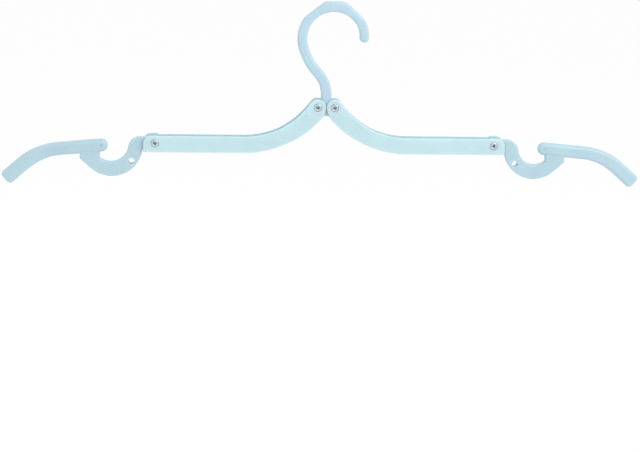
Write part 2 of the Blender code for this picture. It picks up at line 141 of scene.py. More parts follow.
def blend(start, end, share):
    """A value that eases from start to end as the share goes from 0 to 1."""
    share = min(1, max(0, share))
    return start + (end - start) * share * share * (3 - 2 * share)


def mirrored(points, side):
    """The same points for side 1, their mirror image for side -1."""
    return [(side * x, z) for x, z in points]


# %% [markdown]
# ## From an outline to a solid
# By hand one would add a circle with as many points as the outline has, drag each to its place,
# fill it, extrude the face through the plate's thickness and bevel the two rims. `plate` does just
# that. `pick_edges` stands in for the mouse: it selects edges by a test on where they are.

# %% Plates with rounded rims
WELD = 0.001                        # points closer than this are one
ROUND = 0.5                         # the Bevel tool's profile for a quarter circle
RIM_STEPS = 5                       # faces across a narrow rounded rim
DEEP_RIM_STEPS = 8                  # and across a wide one
ROUND_SIDES = 64


def only(item):
    """Selects this object and nothing else."""
    bpy.ops.object.select_all(action="DESELECT")
    item.select_set(True)
    bpy.context.view_layer.objects.active = item


def pick_edges(item, wanted):
    """In edit mode, selects the edges for which wanted(first end, second end) is true."""
    bpy.ops.object.mode_set(mode="EDIT")
    bpy.ops.mesh.select_mode(type="EDGE")
    bpy.ops.mesh.select_all(action="DESELECT")
    bpy.ops.object.mode_set(mode="OBJECT")
    points = item.data.vertices
    for edge in item.data.edges:
        edge.select = wanted(points[edge.vertices[0]].co, points[edge.vertices[1]].co)
    bpy.ops.object.mode_set(mode="EDIT")


def plate(name, points, front, back, rim=0.0, rim_steps=RIM_STEPS, rounded=None):
    """A solid from front to back in Y, with its rims rounded at both ends or at the given ones."""
    bpy.ops.object.select_all(action="DESELECT")
    bpy.ops.mesh.primitive_circle_add(vertices=len(points), radius=1, fill_type="NGON")
    item = bpy.context.object
    item.name = name
    for vertex, (x, z) in zip(item.data.vertices, points):
        vertex.co = (x, front, z)
    bpy.ops.object.mode_set(mode="EDIT")
    bpy.ops.mesh.select_all(action="SELECT")
    bpy.ops.mesh.extrude_region_move(TRANSFORM_OT_translate={"value": (0, back - front, 0)})
    bpy.ops.mesh.select_all(action="SELECT")
    bpy.ops.mesh.normals_make_consistent(inside=False)
    bpy.ops.object.mode_set(mode="OBJECT")
    if rim:
        ends = rounded or (front, back)
        pick_edges(item, lambda a, b: a.y == b.y and min(abs(a.y - end) for end in ends) < WELD)
        bpy.ops.mesh.bevel(offset=rim, segments=rim_steps, profile=ROUND, affect="EDGES")
        bpy.ops.object.mode_set(mode="OBJECT")
    return item


def cylinder(name, centre, radius, front, back, sides=ROUND_SIDES):
    """A round bar along Y."""
    bpy.ops.object.select_all(action="DESELECT")
    bpy.ops.mesh.primitive_cylinder_add(vertices=sides, radius=radius, depth=back - front,
                                        location=(centre[0], (front + back) / 2, centre[1]),
                                        rotation=(pi / 2, 0, 0))
    item = bpy.context.object
    item.name = name
    bpy.ops.object.transform_apply(location=True, rotation=True, scale=True)
    return item


def combine(item, tool, operation):
    """Cuts the tool from the item, or joins it on, and uses the tool up."""
    only(item)
    step = item.modifiers.new(operation, "BOOLEAN")
    step.operation = operation
    step.solver = "EXACT"
    step.object = tool
    bpy.ops.object.modifier_apply(modifier=step.name)
    bpy.data.objects.remove(tool, do_unlink=True)


# %% [markdown]
# A piece is finished the same way each time: brought from millimetres to metres at its place, its
# object left at the origin and unscaled, and shaded smooth except where two faces meet sharply.
# Weighted normals let the broad flat faces win over the narrow rounded rims, which keeps the flats
# flat to the eye, as on a real moulding.

# %% Finish a piece
SHARP_ANGLE = 32.0                  # faces that meet more sharply than this keep an edge
COUNTS = {}


def finish_piece(item, body, node, slot, place=(0, 0, 0)):
    """Sets the piece in place in metres and ties it to the body, node and slot it stands for."""
    only(item)
    item.location = Vector(place) / METRE
    item.scale = (1 / METRE, 1 / METRE, 1 / METRE)
    bpy.ops.object.transform_apply(location=True, rotation=True, scale=True)
    bpy.ops.object.shade_smooth_by_angle(angle=radians(SHARP_ANGLE))
    weights = item.modifiers.new("weights", "WEIGHTED_NORMAL")
    weights.keep_sharp = True
    bpy.ops.object.modifier_apply(modifier=weights.name)
    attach(item, body)
    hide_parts(node)
    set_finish(item, slot)
    COUNTS[item.name] = sum(len(face.vertices) - 2 for face in item.data.polygons)
    size = [round(v * METRE, 1) for v in item.dimensions]
    print(f"{item.name}: {COUNTS[item.name]} triangles, {size} mm")


# %% [markdown]
# What occurs twice is modelled once and copied. A mirror image is a copy scaled by minus one, which
# turns its faces inside out, so they are turned back.

# %% Copies
def copied(item, name):
    """A copy with a mesh of its own."""
    twin = item.copy()
    twin.data = item.data.copy()
    twin.name = name
    bpy.context.collection.objects.link(twin)
    return twin


def mirror_image(item, name):
    """A copy mirrored across the middle, with its faces turned outwards again."""
    twin = copied(item, name)
    only(twin)
    twin.scale.x = -1
    bpy.ops.object.transform_apply(location=False, rotation=False, scale=True)
    bpy.ops.object.mode_set(mode="EDIT")
    bpy.ops.mesh.select_all(action="SELECT")
    bpy.ops.mesh.normals_make_consistent(inside=False)
    bpy.ops.object.mode_set(mode="OBJECT")
    return twin


# %% [markdown]
# ## The hook
# The hook and the base that the arms turn on are one moulding in polypropylene. Its bar runs from
# a round tip over the rail, eases out of the circle, turns down in the neck and widens into a small
# plate with a hub round each rivet and a keel below, which stops the arms. The crown, which carries
# the load, is thicker, and the outside has three flats. A bar like this could be swept along a
# curve, but its width changes all the way, so its outline is drawn and its rims rounded instead.

# %% The hook's sizes
RUN_GAP = 0.3                       # the gap of everything that turns
HOOK_INNER_RADIUS = 17.1
HOOK_BAR = 6.2
HOOK_TIP_BAR = 6.0
HOOK_NECK_BAR = 6.8
HOOK_TIP_SWELL = 26.0               # the bar reaches its full width this far from the tip
HOOK_NECK_SWELL = 52.0              # and starts to change again this far from the base
HOOK_DEPTH = 6.2
HOOK_EDGE = 1.9                     # so round that a flat of 2.4 mm is left in front
HOOK_RISE = 44.3                    # of the hook circle's centre over the centre rivets
HOOK_TIP_ANGLE = -3.0
HOOK_TIP_RADIUS = 17.0              # the tip curls in a little
HOOK_TIP_TURN = 35.0
HOOK_LEAVE_ANGLE = 195.3            # where the bar leaves the circle for a wider bend
HOOK_EASE_RADIUS = 38.5
HOOK_EASE_TURN = 26.5
HOOK_NECK_RUN = 2.8
HOOK_NECK_RADIUS = 20.4
HOOK_CROWN_RADIUS = 24.3            # outside of the thicker stretch at the top
HOOK_FLATS = ((48.2, 22.7), (90.0, 23.75), (128.3, 22.3))    # angle and reach
BASE_HUB = 4.2
BASE_EDGE = 0.7
KEEL_ANGLE = 60.0                   # slope of the keel's sides, which stop the arms
KEEL_DROP = 5.7
HOOK_RADIUS = HOOK_INNER_RADIUS + HOOK_BAR / 2
HOOK_TIP_END = HOOK_TIP_ANGLE + HOOK_TIP_TURN
HOOK_NECK_ANGLE = HOOK_LEAVE_ANGLE + HOOK_EASE_TURN
HOOK_SIDE = sqrt(HOOK_INNER_RADIUS ** 2 - (RIVET_LINE + HOOK_RISE) ** 2)
print(f"the hook's circle is {HOOK_SIDE:.2f} mm right of the middle")

# %% [markdown]
# The middle line of the bar is a track of arcs and one run. Half its width to each side gives the
# two edges, and the outer one is pushed out to the crown and then trimmed to the flats.


# %% The hook's bar
def on_crown(point, centre):
    """Brings a point on the outside out to the crown, then in to the nearest flat."""
    x, z = point[0] - centre[0], point[1] - centre[1]
    if HOOK_FLATS[0][0] < degrees(atan2(z, x)) < HOOK_FLATS[-1][0]:
        grow = HOOK_CROWN_RADIUS / hypot(x, z)
        x, z = x * grow, z * grow
    for angle, flat in HOOK_FLATS:
        reach = x * cos(radians(angle)) + z * sin(radians(angle))
        if reach > flat:
            x, z = x * flat / reach, z * flat / reach
    return (centre[0] + x, centre[1] + z)


def hook_bar_outline():
    """Both edges of the bar, from the base round the tip and back to the base."""
    centre = (HOOK_SIDE, HOOK_RISE)
    curl = polar(centre, HOOK_RADIUS - HOOK_TIP_RADIUS, HOOK_TIP_END)
    start = polar(curl, HOOK_TIP_RADIUS, HOOK_TIP_ANGLE)
    legs = [(0, HOOK_TIP_RADIUS, HOOK_TIP_TURN), (0, HOOK_RADIUS, HOOK_LEAVE_ANGLE - HOOK_TIP_END),
            (0, HOOK_EASE_RADIUS, HOOK_EASE_TURN), (HOOK_NECK_RUN, 0, 0),
            (0, HOOK_NECK_RADIUS, 180 - HOOK_NECK_ANGLE)]
    path = track(start, 90 + HOOK_TIP_ANGLE, legs)
    legs.append((path[-1][1] - BASE_HUB, 0, 0))
    path = track(start, 90 + HOOK_TIP_ANGLE, legs)
    inside = []
    outside = []
    for point in path:
        to_base = path[-1][3] - point[3]
        width = blend(HOOK_TIP_BAR, HOOK_BAR, point[3] / HOOK_TIP_SWELL)
        width = blend(HOOK_NECK_BAR, width, to_base / HOOK_NECK_SWELL)
        inside.append(beside(point, width / 2))
        outside.append(on_crown(beside(point, -width / 2), centre))
    tip = arc(start, HOOK_TIP_BAR / 2, HOOK_TIP_ANGLE - 180, HOOK_TIP_ANGLE)
    return inside[::-1] + tip[1:-1] + outside


print("the hook's bar has", len(hook_bar_outline()), "points")

# %% [markdown]
# The base is symmetrical, so one side is drawn and mirrored: round the hub, then along the keel's
# slanting side to its corner.


# %% The base under the bar
def base_side(side):
    """From the middle of the top, round one hub, to one corner of the keel."""
    pivot = (PIVOT_SPACING / 2, 0)
    keel = 180 + KEEL_ANGLE
    along = (KEEL_DROP + RUN_GAP * cos(radians(KEEL_ANGLE))) / sin(radians(KEEL_ANGLE))
    foot = polar(pivot, hypot(along, RUN_GAP), keel - degrees(atan2(RUN_GAP, along)))
    hub_end = keel - degrees(asin(RUN_GAP / BASE_HUB)) - 360
    return mirrored(arc(pivot, BASE_HUB, 90, hub_end) + [foot], side)


# %% [markdown]
# The bar's rims are rounded heavily, but the base keeps nearly square ones, because it has to fill
# the arms' channels like a tenon. The Bevel modifier can do both at once: its width is scaled by a
# weight on each edge, here full along the bar and fading to a small share below.

# %% Round the rims by weight and drill the base
RIVET_SHANK_RADIUS = 1.45
HOLE_RADIUS = RIVET_SHANK_RADIUS + RUN_GAP
OVERRUN = 4.0                       # how far every cutter runs past what it cuts
BASE_TOP = 8.0                      # where the bar's rounding starts to fade towards the base
half = HOOK_DEPTH / 2
outline = hook_bar_outline() + base_side(-1) + base_side(1)[::-1]
hook = plate("hook_moulding", outline, -half, half)
weights = hook.data.attributes.new("bevel_weight_edge", "FLOAT", "EDGE")
for edge, weight in zip(hook.data.edges, weights.data):
    first, second = (hook.data.vertices[i].co for i in edge.vertices)
    if first.y == second.y:
        share = (max(first.z, second.z) - BASE_HUB) / (BASE_TOP - BASE_HUB)
        weight.value = blend(BASE_EDGE / HOOK_EDGE, 1, share)
only(hook)
rounding = hook.modifiers.new("rounding", "BEVEL")
rounding.limit_method = "WEIGHT"
rounding.width = HOOK_EDGE
rounding.segments = DEEP_RIM_STEPS
rounding.use_clamp_overlap = False
bpy.ops.object.modifier_apply(modifier=rounding.name)
for side in SIDES.values():
    place = (side * PIVOT_SPACING / 2, 0)
    hole = cylinder("hole", place, HOLE_RADIUS, -half - OVERRUN, half + OVERRUN)
    combine(hook, hole, "DIFFERENCE")
finish_piece(hook, "hook", "hook", "hook_plastic", (0, 0, RIVET_LINE))

# %% [markdown]
# ## The inner arms
# Each inner arm is a channel: two side plates joined by a floor along its lower edge. Moulded in
# one shot, it has an even wall, softly rounded rims and a round end at the middle of the hanger.
# It could be made from three plates, but a full-depth blank with its rims rounded and its inside
# cut out gives the same moulding with the corners already blended. The blank is joined from a front
# and a rear half, because only the back plate has a lobe round the outer rivet. The arm is drawn
# once, for the left, round its centre rivet, and the right one is its mirror image.

# %% The inner arm's sizes
ARM_STRAIGHT = 57.3
ARM_BEND_RADIUS = 59.2
ARM_BEND = 53.6
ARM_DEPTH = 10.0
ARM_PLATE = 1.6
ARM_WEB = 1.1
ARM_OPEN_SIDE = 4.6
ARM_CLOSED_SIDE = 6.0
ARM_END_CLOSED = 6.6
ARM_END_START = -20.0               # where the round end starts, above the keel
ARM_TAPER = 34.0                    # from the centre rivet to where the sides run plain
ARM_TAIL = 7.5                      # from the outer rivet to the end of the arm
ARM_TAIL_CORNER = 5.2
ARM_LOBE_RISE = 0.8
ARM_RIM = 0.6
ARM_END_RADIUS = (PIVOT_SPACING - RUN_GAP) / 2
ARM_LOBE_RADIUS = ARM_OPEN_SIDE + ARM_LOBE_RISE
ARM_FLOOR = ARM_CLOSED_SIDE - ARM_WEB
CHANNEL_GAP = ARM_DEPTH - 2 * ARM_PLATE
KEEL_LEAN = KEEL_ANGLE + ARM_BEND - 90
TIP_HUB = ARM_FLOOR - 2 * RUN_GAP
ARM_FOOT = (-ARM_IN, -ARM_UP)       # the outer rivet, seen from the centre one
print(f"the channel is {CHANNEL_GAP:.1f} mm wide and {ARM_FLOOR + ARM_OPEN_SIDE:.1f} mm deep")

# %% [markdown]
# Both edges of the arm follow the line from rivet to rivet, a straight run and a bend, at a
# distance that changes a little towards the middle of the hanger.


# %% The inner arm's outline
def arm_edge(inner_offset, plain_offset, stop_short=0):
    """Points beside the rivet line, from the outer rivet towards the centre rivet."""
    path = track(ARM_FOOT, 0, [(ARM_STRAIGHT, 0, 0), (0, ARM_BEND_RADIUS, ARM_BEND)])
    edge = []
    for point in path:
        left = path[-1][3] - point[3]
        if left >= stop_short:
            edge.append(beside(point, blend(inner_offset, plain_offset, left / ARM_TAPER)))
    return edge


def keel_corner(offset):
    """Where an edge at this offset from the rivet line meets the line of the keel's side."""
    return polar((0, 0), offset / cos(radians(KEEL_LEAN)), -KEEL_ANGLE)


def arm_outline(lobe_radius=0.0):
    """The front plate's outline, or the back plate's with its lobe round the outer rivet."""
    short = ARM_END_CLOSED * tan(radians(KEEL_LEAN)) + RUN_STEP
    closed = arm_edge(-ARM_END_CLOSED, -ARM_CLOSED_SIDE, short)
    round_end = arc((0, 0), ARM_END_RADIUS, ARM_END_START, ARM_BEND + 90)
    open_edge = arm_edge(ARM_END_RADIUS, ARM_OPEN_SIDE)[-2::-1]
    top = ARM_OPEN_SIDE
    if lobe_radius:
        top = lobe_radius
        lobe = arc(ARM_FOOT, lobe_radius, degrees(asin(ARM_OPEN_SIDE / lobe_radius)), 90)
        open_edge = [point for point in open_edge if point[0] > lobe[0][0] + WELD] + lobe
    corner = (ARM_FOOT[0] - ARM_TAIL + ARM_TAIL_CORNER, ARM_FOOT[1] + top - ARM_TAIL_CORNER)
    tail = arc(corner, ARM_TAIL_CORNER, 90, 180)
    heel = [(ARM_FOOT[0] - ARM_TAIL, ARM_FOOT[1] - ARM_CLOSED_SIDE)]
    return closed[1:] + [keel_corner(ARM_END_CLOSED)] + round_end + open_edge + tail + heel


# %% [markdown]
# The channel is cut with one long cutter that runs out past the open side. Its floor ends just past
# the outer rivet, where it stops the outer arm, and at the keel's slanting side in the middle.

# %% The channel cutter
HAIR = 0.01                         # the cutter passes just inside the outline's corner
CLIP_HUB_END = 255.0
NOTCH_CENTRE = (28.5, -1.4)
NOTCH_RADIUS = 11.4
NOTCH_WALL_SIDE = 6.9               # the notch's circle ends at an upright wall this far out
LOOP_CENTRE = (NOTCH_CENTRE[0] - 0.6, NOTCH_CENTRE[1] - 0.8)
LOOP_RADIUS = NOTCH_RADIUS + 8.7
LOOP_START = 188.0


def floor_end():
    """How far past the outer rivet the floor reaches, 0.3 mm short of the clip's straight heel."""
    hub_x, hub_z = polar((0, 0), TIP_HUB, CLIP_HUB_END)
    loop_x, loop_z = polar(LOOP_CENTRE, LOOP_RADIUS, LOOP_START)
    slope = atan2(hub_z - loop_z, loop_x - hub_x)
    return hub_x + (ARM_FLOOR + hub_z - RUN_GAP / cos(slope)) / tan(slope)


def channel_outline():
    """The cutter: along the floor, past the keel, over the open side and past the tail."""
    short = ARM_END_CLOSED * tan(radians(KEEL_LEAN)) + RUN_STEP
    floor = arm_edge(ARM_WEB - ARM_END_CLOSED, ARM_WEB - ARM_CLOSED_SIDE, short)[1:]
    start = (ARM_FOOT[0] - floor_end(), ARM_FOOT[1] - ARM_FLOOR)
    below = start[1] - ARM_WEB - OVERRUN
    above = ARM_END_RADIUS + OVERRUN
    near_keel = keel_corner(ARM_END_CLOSED - ARM_WEB)
    past_keel = keel_corner(ARM_END_CLOSED + OVERRUN)
    near_keel, past_keel = ((x - HAIR, z) for x, z in (near_keel, past_keel))
    past_tail = ARM_FOOT[0] - ARM_TAIL - OVERRUN
    return [start] + floor + [near_keel, past_keel,
            (above, past_keel[1]), (above, above), (past_tail, above), (past_tail, below),
            (start[0], below)]


# %% The inner arms themselves
RECESS_DEPTH = 0.4                  # shallow seat in the front plate for a rivet's rolled end
RECESS_RADIUS = 2.6
half = ARM_DEPTH / 2
gap = CHANNEL_GAP / 2
left_arm = plate("left_arm_channel", arm_outline(), -half, 0, ARM_RIM, rounded=[-half])
rear = plate("rear", arm_outline(ARM_LOBE_RADIUS), 0, half, ARM_RIM, rounded=[half])
combine(left_arm, rear, "UNION")
combine(left_arm, plate("channel", channel_outline(), -gap, gap), "DIFFERENCE")
for place in ((0, 0), ARM_FOOT):
    hole = cylinder("hole", place, HOLE_RADIUS, -half - OVERRUN, half + OVERRUN)
    combine(left_arm, hole, "DIFFERENCE")
    recess = cylinder("recess", place, RECESS_RADIUS, -half - OVERRUN, RECESS_DEPTH - half)
    combine(left_arm, recess, "DIFFERENCE")
right_arm = mirror_image(left_arm, "right_arm_channel")
finish_piece(left_arm, "left_arm", "left_inner_arm", "inner_arm_plastic", CENTRE_PIVOT["left"])
finish_piece(right_arm, "right_arm", "right_inner_arm", "inner_arm_plastic", CENTRE_PIVOT["right"])

# %% [markdown]
# ## The outer arms
# The outer arm is a round-edged bar that droops at its tip to carry a shoulder seam, and under it
# a flatter plate loops round a notch for a strap. The bar stands a little proud of the plate, so a
# faint step runs along its lower edge. A small hole goes through the loop.

# %% The outer arm's sizes
SHOULDER_RADIUS = 8.1
SHOULDER_LEAN = 9.0
SHOULDER_END = 100.0
REST_SLOPE = 42.0
REST_RUN = 6.95
CLIP_DEPTH = 5.0
CLIP_RIM = 1.0
HUB_INSET = 1.1                     # the raised hub's rim stands this far inside the clip's
CLIP_HOLE_INSET = 3.95
CLIP_HOLE_ANGLE = 217.9
CLIP_HOLE_RADIUS = 1.95
NOTCH_WALL_OUT = NOTCH_CENTRE[0] + NOTCH_WALL_SIDE
BAR_START = (NOTCH_WALL_OUT - 1.0, -2.2)
BAR_START_WIDTH = 8.3
BAR_WIDTH = 8.5
BAR_SWELL = 16.0
BAR_EDGE = 2.5
BAR_FALL = 5.4                      # slope of the straight part
BAR_STRAIGHT = 27.2
BAR_BEND_RADIUS = 40.8
BAR_BEND = 35.4
BAR_TIP_RUN = 15.9
BAR_TIP_WIDTH = 9.4
BAR_TIP_CORNER = 2.7
print(f"the bar is {BAR_WIDTH:.1f} mm high and {HOOK_DEPTH:.1f} mm thick")

# %% [markdown]
# The clip's outline runs round the hub, under the loop and up its end, then back inside the bar,
# round the notch and over the shoulder to the hub. The bar is a track again, with a rounded tip.


# %% The clip's and the bar's outlines
def bar_height(out):
    """The middle of the bar's straight part, at a distance from the rivet."""
    return BAR_START[1] - (out - BAR_START[0]) * tan(radians(BAR_FALL))


def clip_outline():
    hub = arc((0, 0), TIP_HUB, 90, CLIP_HUB_END)
    loop = arc(LOOP_CENTRE, LOOP_RADIUS, LOOP_START, 270 + REST_SLOPE)
    rest_out = loop[-1][0] + REST_RUN
    rest_end = (rest_out, loop[-1][1] + REST_RUN * tan(radians(REST_SLOPE)))
    in_bar = [(rest_out, bar_height(rest_out)), (NOTCH_WALL_OUT, bar_height(NOTCH_WALL_OUT))]
    wall = -degrees(acos(NOTCH_WALL_SIDE / NOTCH_RADIUS))
    notch = arc(NOTCH_CENTRE, NOTCH_RADIUS, wall, SHOULDER_LEAN - 180)
    shoulder_centre = polar(NOTCH_CENTRE, NOTCH_RADIUS + SHOULDER_RADIUS, SHOULDER_LEAN - 180)
    shoulder = arc(shoulder_centre, SHOULDER_RADIUS, SHOULDER_LEAN, SHOULDER_END)
    return hub + loop + [rest_end] + in_bar + notch + shoulder[1:]


def bar_outline():
    legs = [(BAR_STRAIGHT, 0, 0), (0, BAR_BEND_RADIUS, -BAR_BEND), (BAR_TIP_RUN, 0, 0)]
    path = track(BAR_START, -BAR_FALL, legs)
    bend_length = BAR_BEND_RADIUS * radians(BAR_BEND)
    upper = []
    lower = []
    x, z, heading, travelled = path[-1]
    for point in path:
        if travelled - point[3] > BAR_TIP_CORNER:
            width = blend(BAR_START_WIDTH, BAR_WIDTH, point[3] / BAR_SWELL)
            width = blend(width, BAR_TIP_WIDTH, (point[3] - BAR_STRAIGHT) / bend_length)
            upper.append(beside(point, width / 2))
            lower.append(beside(point, -width / 2))
    back = (x - BAR_TIP_CORNER * cos(radians(heading)), z - BAR_TIP_CORNER * sin(radians(heading)),
            heading, travelled)
    inset = BAR_TIP_WIDTH / 2 - BAR_TIP_CORNER
    tip = arc(beside(back, -inset), BAR_TIP_CORNER, heading - 90, heading)
    tip += arc(beside(back, inset), BAR_TIP_CORNER, heading, heading + 90)
    round_end = arc(BAR_START, BAR_START_WIDTH / 2, 90 - BAR_FALL, 270 - BAR_FALL)
    return round_end[:-1] + lower + tip + upper[:0:-1]


# %% [markdown]
# In the middle of the bar's round end the front carries a shallow dimple, the mark of the gate
# where the melt came in. It is cut with a round bar that goes in only a third of a millimetre.

# %% The outer arms themselves
PIP_RADIUS = 0.75
PIP_DEPTH = 0.35
PIP_SIDES = 32
half = HOOK_DEPTH / 2
thin = CLIP_DEPTH / 2
right_outer = plate("right_outer_arm_moulding", clip_outline(), -thin, thin, CLIP_RIM)
combine(right_outer, plate("bar", bar_outline(), -half, half, BAR_EDGE, DEEP_RIM_STEPS), "UNION")
combine(right_outer, cylinder("hub", (0, 0), TIP_HUB - HUB_INSET, -half, half), "UNION")
small_hole = polar(LOOP_CENTRE, LOOP_RADIUS - CLIP_HOLE_INSET, CLIP_HOLE_ANGLE)
for place, radius in (((0, 0), HOLE_RADIUS), (small_hole, CLIP_HOLE_RADIUS)):
    hole = cylinder("hole", place, radius, -half - OVERRUN, half + OVERRUN)
    combine(right_outer, hole, "DIFFERENCE")
pip = cylinder("pip", BAR_START, PIP_RADIUS, -half - OVERRUN, PIP_DEPTH - half, PIP_SIDES)
combine(right_outer, pip, "DIFFERENCE")
left_outer = mirror_image(right_outer, "left_outer_arm_moulding")
finish_piece(left_outer, "left_tip", "left_outer_arm", "outer_arm_plastic", OUTER_PIVOT["left"])
finish_piece(right_outer, "right_tip", "right_outer_arm", "outer_arm_plastic", OUTER_PIVOT["right"])

# %% [markdown]
# ## The rivets
# A semi-tubular rivet is turned and headed: a low dome at the back, and in front a hollow end that
# the press has rolled outwards over the plate. A turned shape is a profile spun round its axis, so
# the profile is drawn as an open line from axis to axis and spun, as a lathe would see it.

# %% One rivet, spun from its profile
HEAD_RADIUS = 2.6
HEAD_RISE = 1.2
HEAD_EDGE = 0.15                    # height of the straight edge under the dome
LIP_RADIUS = 2.5
LIP = 0.5
LIP_REST = 0.05                     # a hair that keeps the rolled end off its seat
LIP_CROWN = 1.6                     # radius at which the rolled end stands highest
BORE_RADIUS = 0.95
BORE_DEPTH = 3.0
RIVET_SIDES = 48
LIP_BACK = RECESS_DEPTH - ARM_DEPTH / 2 - LIP_REST
LIP_FRONT = LIP_BACK - LIP


def oval(centre, across, along, start, end):
    """Part of an ellipse in the profile's plane."""
    return [(centre[0] + across * x, centre[1] + along * y) for x, y in arc((0, 0), 1, start, end)]


def rivet_profile():
    """Points (radius, y) from the crown of the dome to the bottom of the bore."""
    seat = ARM_DEPTH / 2 + RUN_GAP
    rise = HEAD_RISE - HEAD_EDGE
    dome_radius = (HEAD_RADIUS ** 2 + rise ** 2) / (2 * rise)
    spread = degrees(asin(HEAD_RADIUS / dome_radius))
    dome = arc((0, seat + HEAD_RISE - dome_radius), dome_radius, 90, 90 - spread)
    dome.append((HEAD_RADIUS, seat))
    roll = oval((LIP_CROWN, LIP_BACK), LIP_RADIUS - LIP_CROWN, LIP, 0, -90)
    roll += oval((LIP_CROWN, LIP_BACK), LIP_CROWN - BORE_RADIUS, LIP, 270, 180)[1:]
    bore_end = LIP_FRONT + BORE_DEPTH
    shank = [(RIVET_SHANK_RADIUS, seat), (RIVET_SHANK_RADIUS, LIP_BACK)]
    return dome + shank + roll + [(BORE_RADIUS, bore_end), (0, bore_end + BORE_RADIUS)]


profile = rivet_profile()
bpy.ops.object.select_all(action="DESELECT")
bpy.ops.mesh.primitive_circle_add(vertices=len(profile), radius=1, fill_type="NOTHING")
rivet = bpy.context.object
for vertex, (radius, y) in zip(rivet.data.vertices, profile):
    vertex.co = (radius, y, 0)
pick_edges(rivet, lambda a, b: max(a.x, b.x) < WELD)
bpy.ops.mesh.delete(type="EDGE")
bpy.ops.mesh.select_all(action="SELECT")
bpy.ops.mesh.spin(steps=RIVET_SIDES, angle=2 * pi, center=(0, 0, 0), axis=(0, 1, 0))
bpy.ops.mesh.select_all(action="SELECT")
bpy.ops.mesh.remove_doubles(threshold=WELD)
bpy.ops.mesh.normals_make_consistent(inside=False)
bpy.ops.object.mode_set(mode="OBJECT")

# %% [markdown]
# The inside of the hollow end is painted a little brighter than the rolled ring, as painted light
# for the light that gets down into the bore. How deep a point lies in the bore is written on the
# mesh as an attribute, for the finish to read.

# %% Mark the bore and set four copies
# how deep each point lies in the bore, which the finish turns into painted light
painted_light_depth = rivet.data.attributes.new("depth_in_bore", "FLOAT", "POINT")
for vertex, value in zip(rivet.data.vertices, painted_light_depth.data):
    in_bore = hypot(vertex.co.x, vertex.co.z) < BORE_RADIUS + WELD and vertex.co.y < 0
    value.value = min(1, max(0, vertex.co.y - LIP_BACK) / BORE_RADIUS) if in_bore else 0
for side_name in SIDES:
    for end_name, pivot in (("centre", CENTRE_PIVOT), ("outer", OUTER_PIVOT)):
        node = f"{side_name}_{end_name}_rivet"
        twin = copied(rivet, node + "_turned")
        finish_piece(twin, f"{side_name}_arm", node, "rivet_steel", pivot[side_name])
bpy.data.objects.remove(rivet, do_unlink=True)

# %% [markdown]
# ## Finishes
# Colours are read as screen values, written as hex, and turned to the linear values that Blender
# mixes. A material is a small tree of nodes, and one function adds a node with its settings and
# links, so that each finish below reads from top to bottom as it would from left to right.

# %% Colour and node helpers
def linear(hex_colour):
    """An sRGB colour such as "c8e6ec" as the linear colour that a shader takes."""
    channels = [int(hex_colour[i:i + 2], 16) / 255 for i in (0, 2, 4)]
    return [c / 12.92 if c <= 0.04045 else ((c + 0.055) / 1.055) ** 2.4 for c in channels] + [1]


def add_node(tree, kind, values=None, links=None, **settings):
    """Adds a node, sets its properties and input values, and links its inputs."""
    node = tree.nodes.new(kind)
    for name, value in settings.items():
        setattr(node, name, value)
    for name, value in (values or {}).items():
        node.inputs[name].default_value = value
    for name, output in (links or {}).items():
        tree.links.new(output, node.inputs[name])
    return node


def new_material(name):
    """An empty material and its tree."""
    material = bpy.data.materials.new(name)
    material.use_nodes = True
    material.node_tree.nodes.clear()
    return material, material.node_tree


# %% [markdown]
# Polypropylene is a waxy, slightly milky plastic. Moulded against a finely ground tool it shows a
# broad soft gloss, a trace of orange peel, and very weak clouds of colour where the melt flowed.
# Its refractive index is about 1.49. Light that enters it spreads for a few millimetres before it
# comes out, which subsurface scattering gives. The real clouds run along the flow and are 1 to 3 cm
# across. The real orange peel is near 0.1 mm and would not show, so it is drawn coarser.

# %% Moulded polypropylene
PP_IOR = 1.49
LIGHT_REACH = 0.004                 # metres that light travels in the milky plastic
MILK_TINT = (0.8, 1.0, 1.0)         # red light travels a little less far than green and blue
CLOUD_SIZE = 0.018                  # metres
CLOUD_DETAIL = 2.0
CLOUD_EDGES = (0.35, 0.65)          # the noise values between which the tone changes
PEEL_GRAIN = 0.0016                 # metres
PEEL_DETAIL = 1.0
PEEL_HEIGHT = 0.00005               # metres
PEEL_STRENGTH = 0.05
GLOSS_SPREAD = 0.03                 # roughness to either side of the finish's own


def moulded_polypropylene(name, base_hex, cloud_hex, roughness, milkiness):
    """Milky plastic of one tone, with faint clouds of a second one."""
    material, tree = new_material(name)
    place = add_node(tree, "ShaderNodeTexCoord").outputs["Object"]
    clouds = add_node(tree, "ShaderNodeTexNoise",
                      {"Scale": 1 / CLOUD_SIZE, "Detail": CLOUD_DETAIL}, {"Vector": place})
    tint = add_node(tree, "ShaderNodeValToRGB", None, {"Fac": clouds.outputs["Fac"]})
    for stop, edge, colour in zip(tint.color_ramp.elements, CLOUD_EDGES, (base_hex, cloud_hex)):
        stop.position = edge
        stop.color = linear(colour)
    peel = add_node(tree, "ShaderNodeTexNoise",
                    {"Scale": 1 / PEEL_GRAIN, "Detail": PEEL_DETAIL}, {"Vector": place})
    bump = add_node(tree, "ShaderNodeBump", {"Strength": PEEL_STRENGTH, "Distance": PEEL_HEIGHT},
                    {"Height": peel.outputs["Fac"]})
    gloss = add_node(tree, "ShaderNodeMapRange",
                     {"To Min": roughness - GLOSS_SPREAD, "To Max": roughness + GLOSS_SPREAD},
                     {"Value": clouds.outputs["Fac"]})
    shader = add_node(tree, "ShaderNodeBsdfPrincipled",
                      {"IOR": PP_IOR, "Subsurface Weight": milkiness,
                       "Subsurface Scale": LIGHT_REACH, "Subsurface Radius": MILK_TINT},
                      {"Base Color": tint.outputs["Color"], "Roughness": gloss.outputs["Result"],
                       "Normal": bump.outputs["Normal"]})
    add_node(tree, "ShaderNodeOutputMaterial", None, {"Surface": shader.outputs["BSDF"]})
    return material


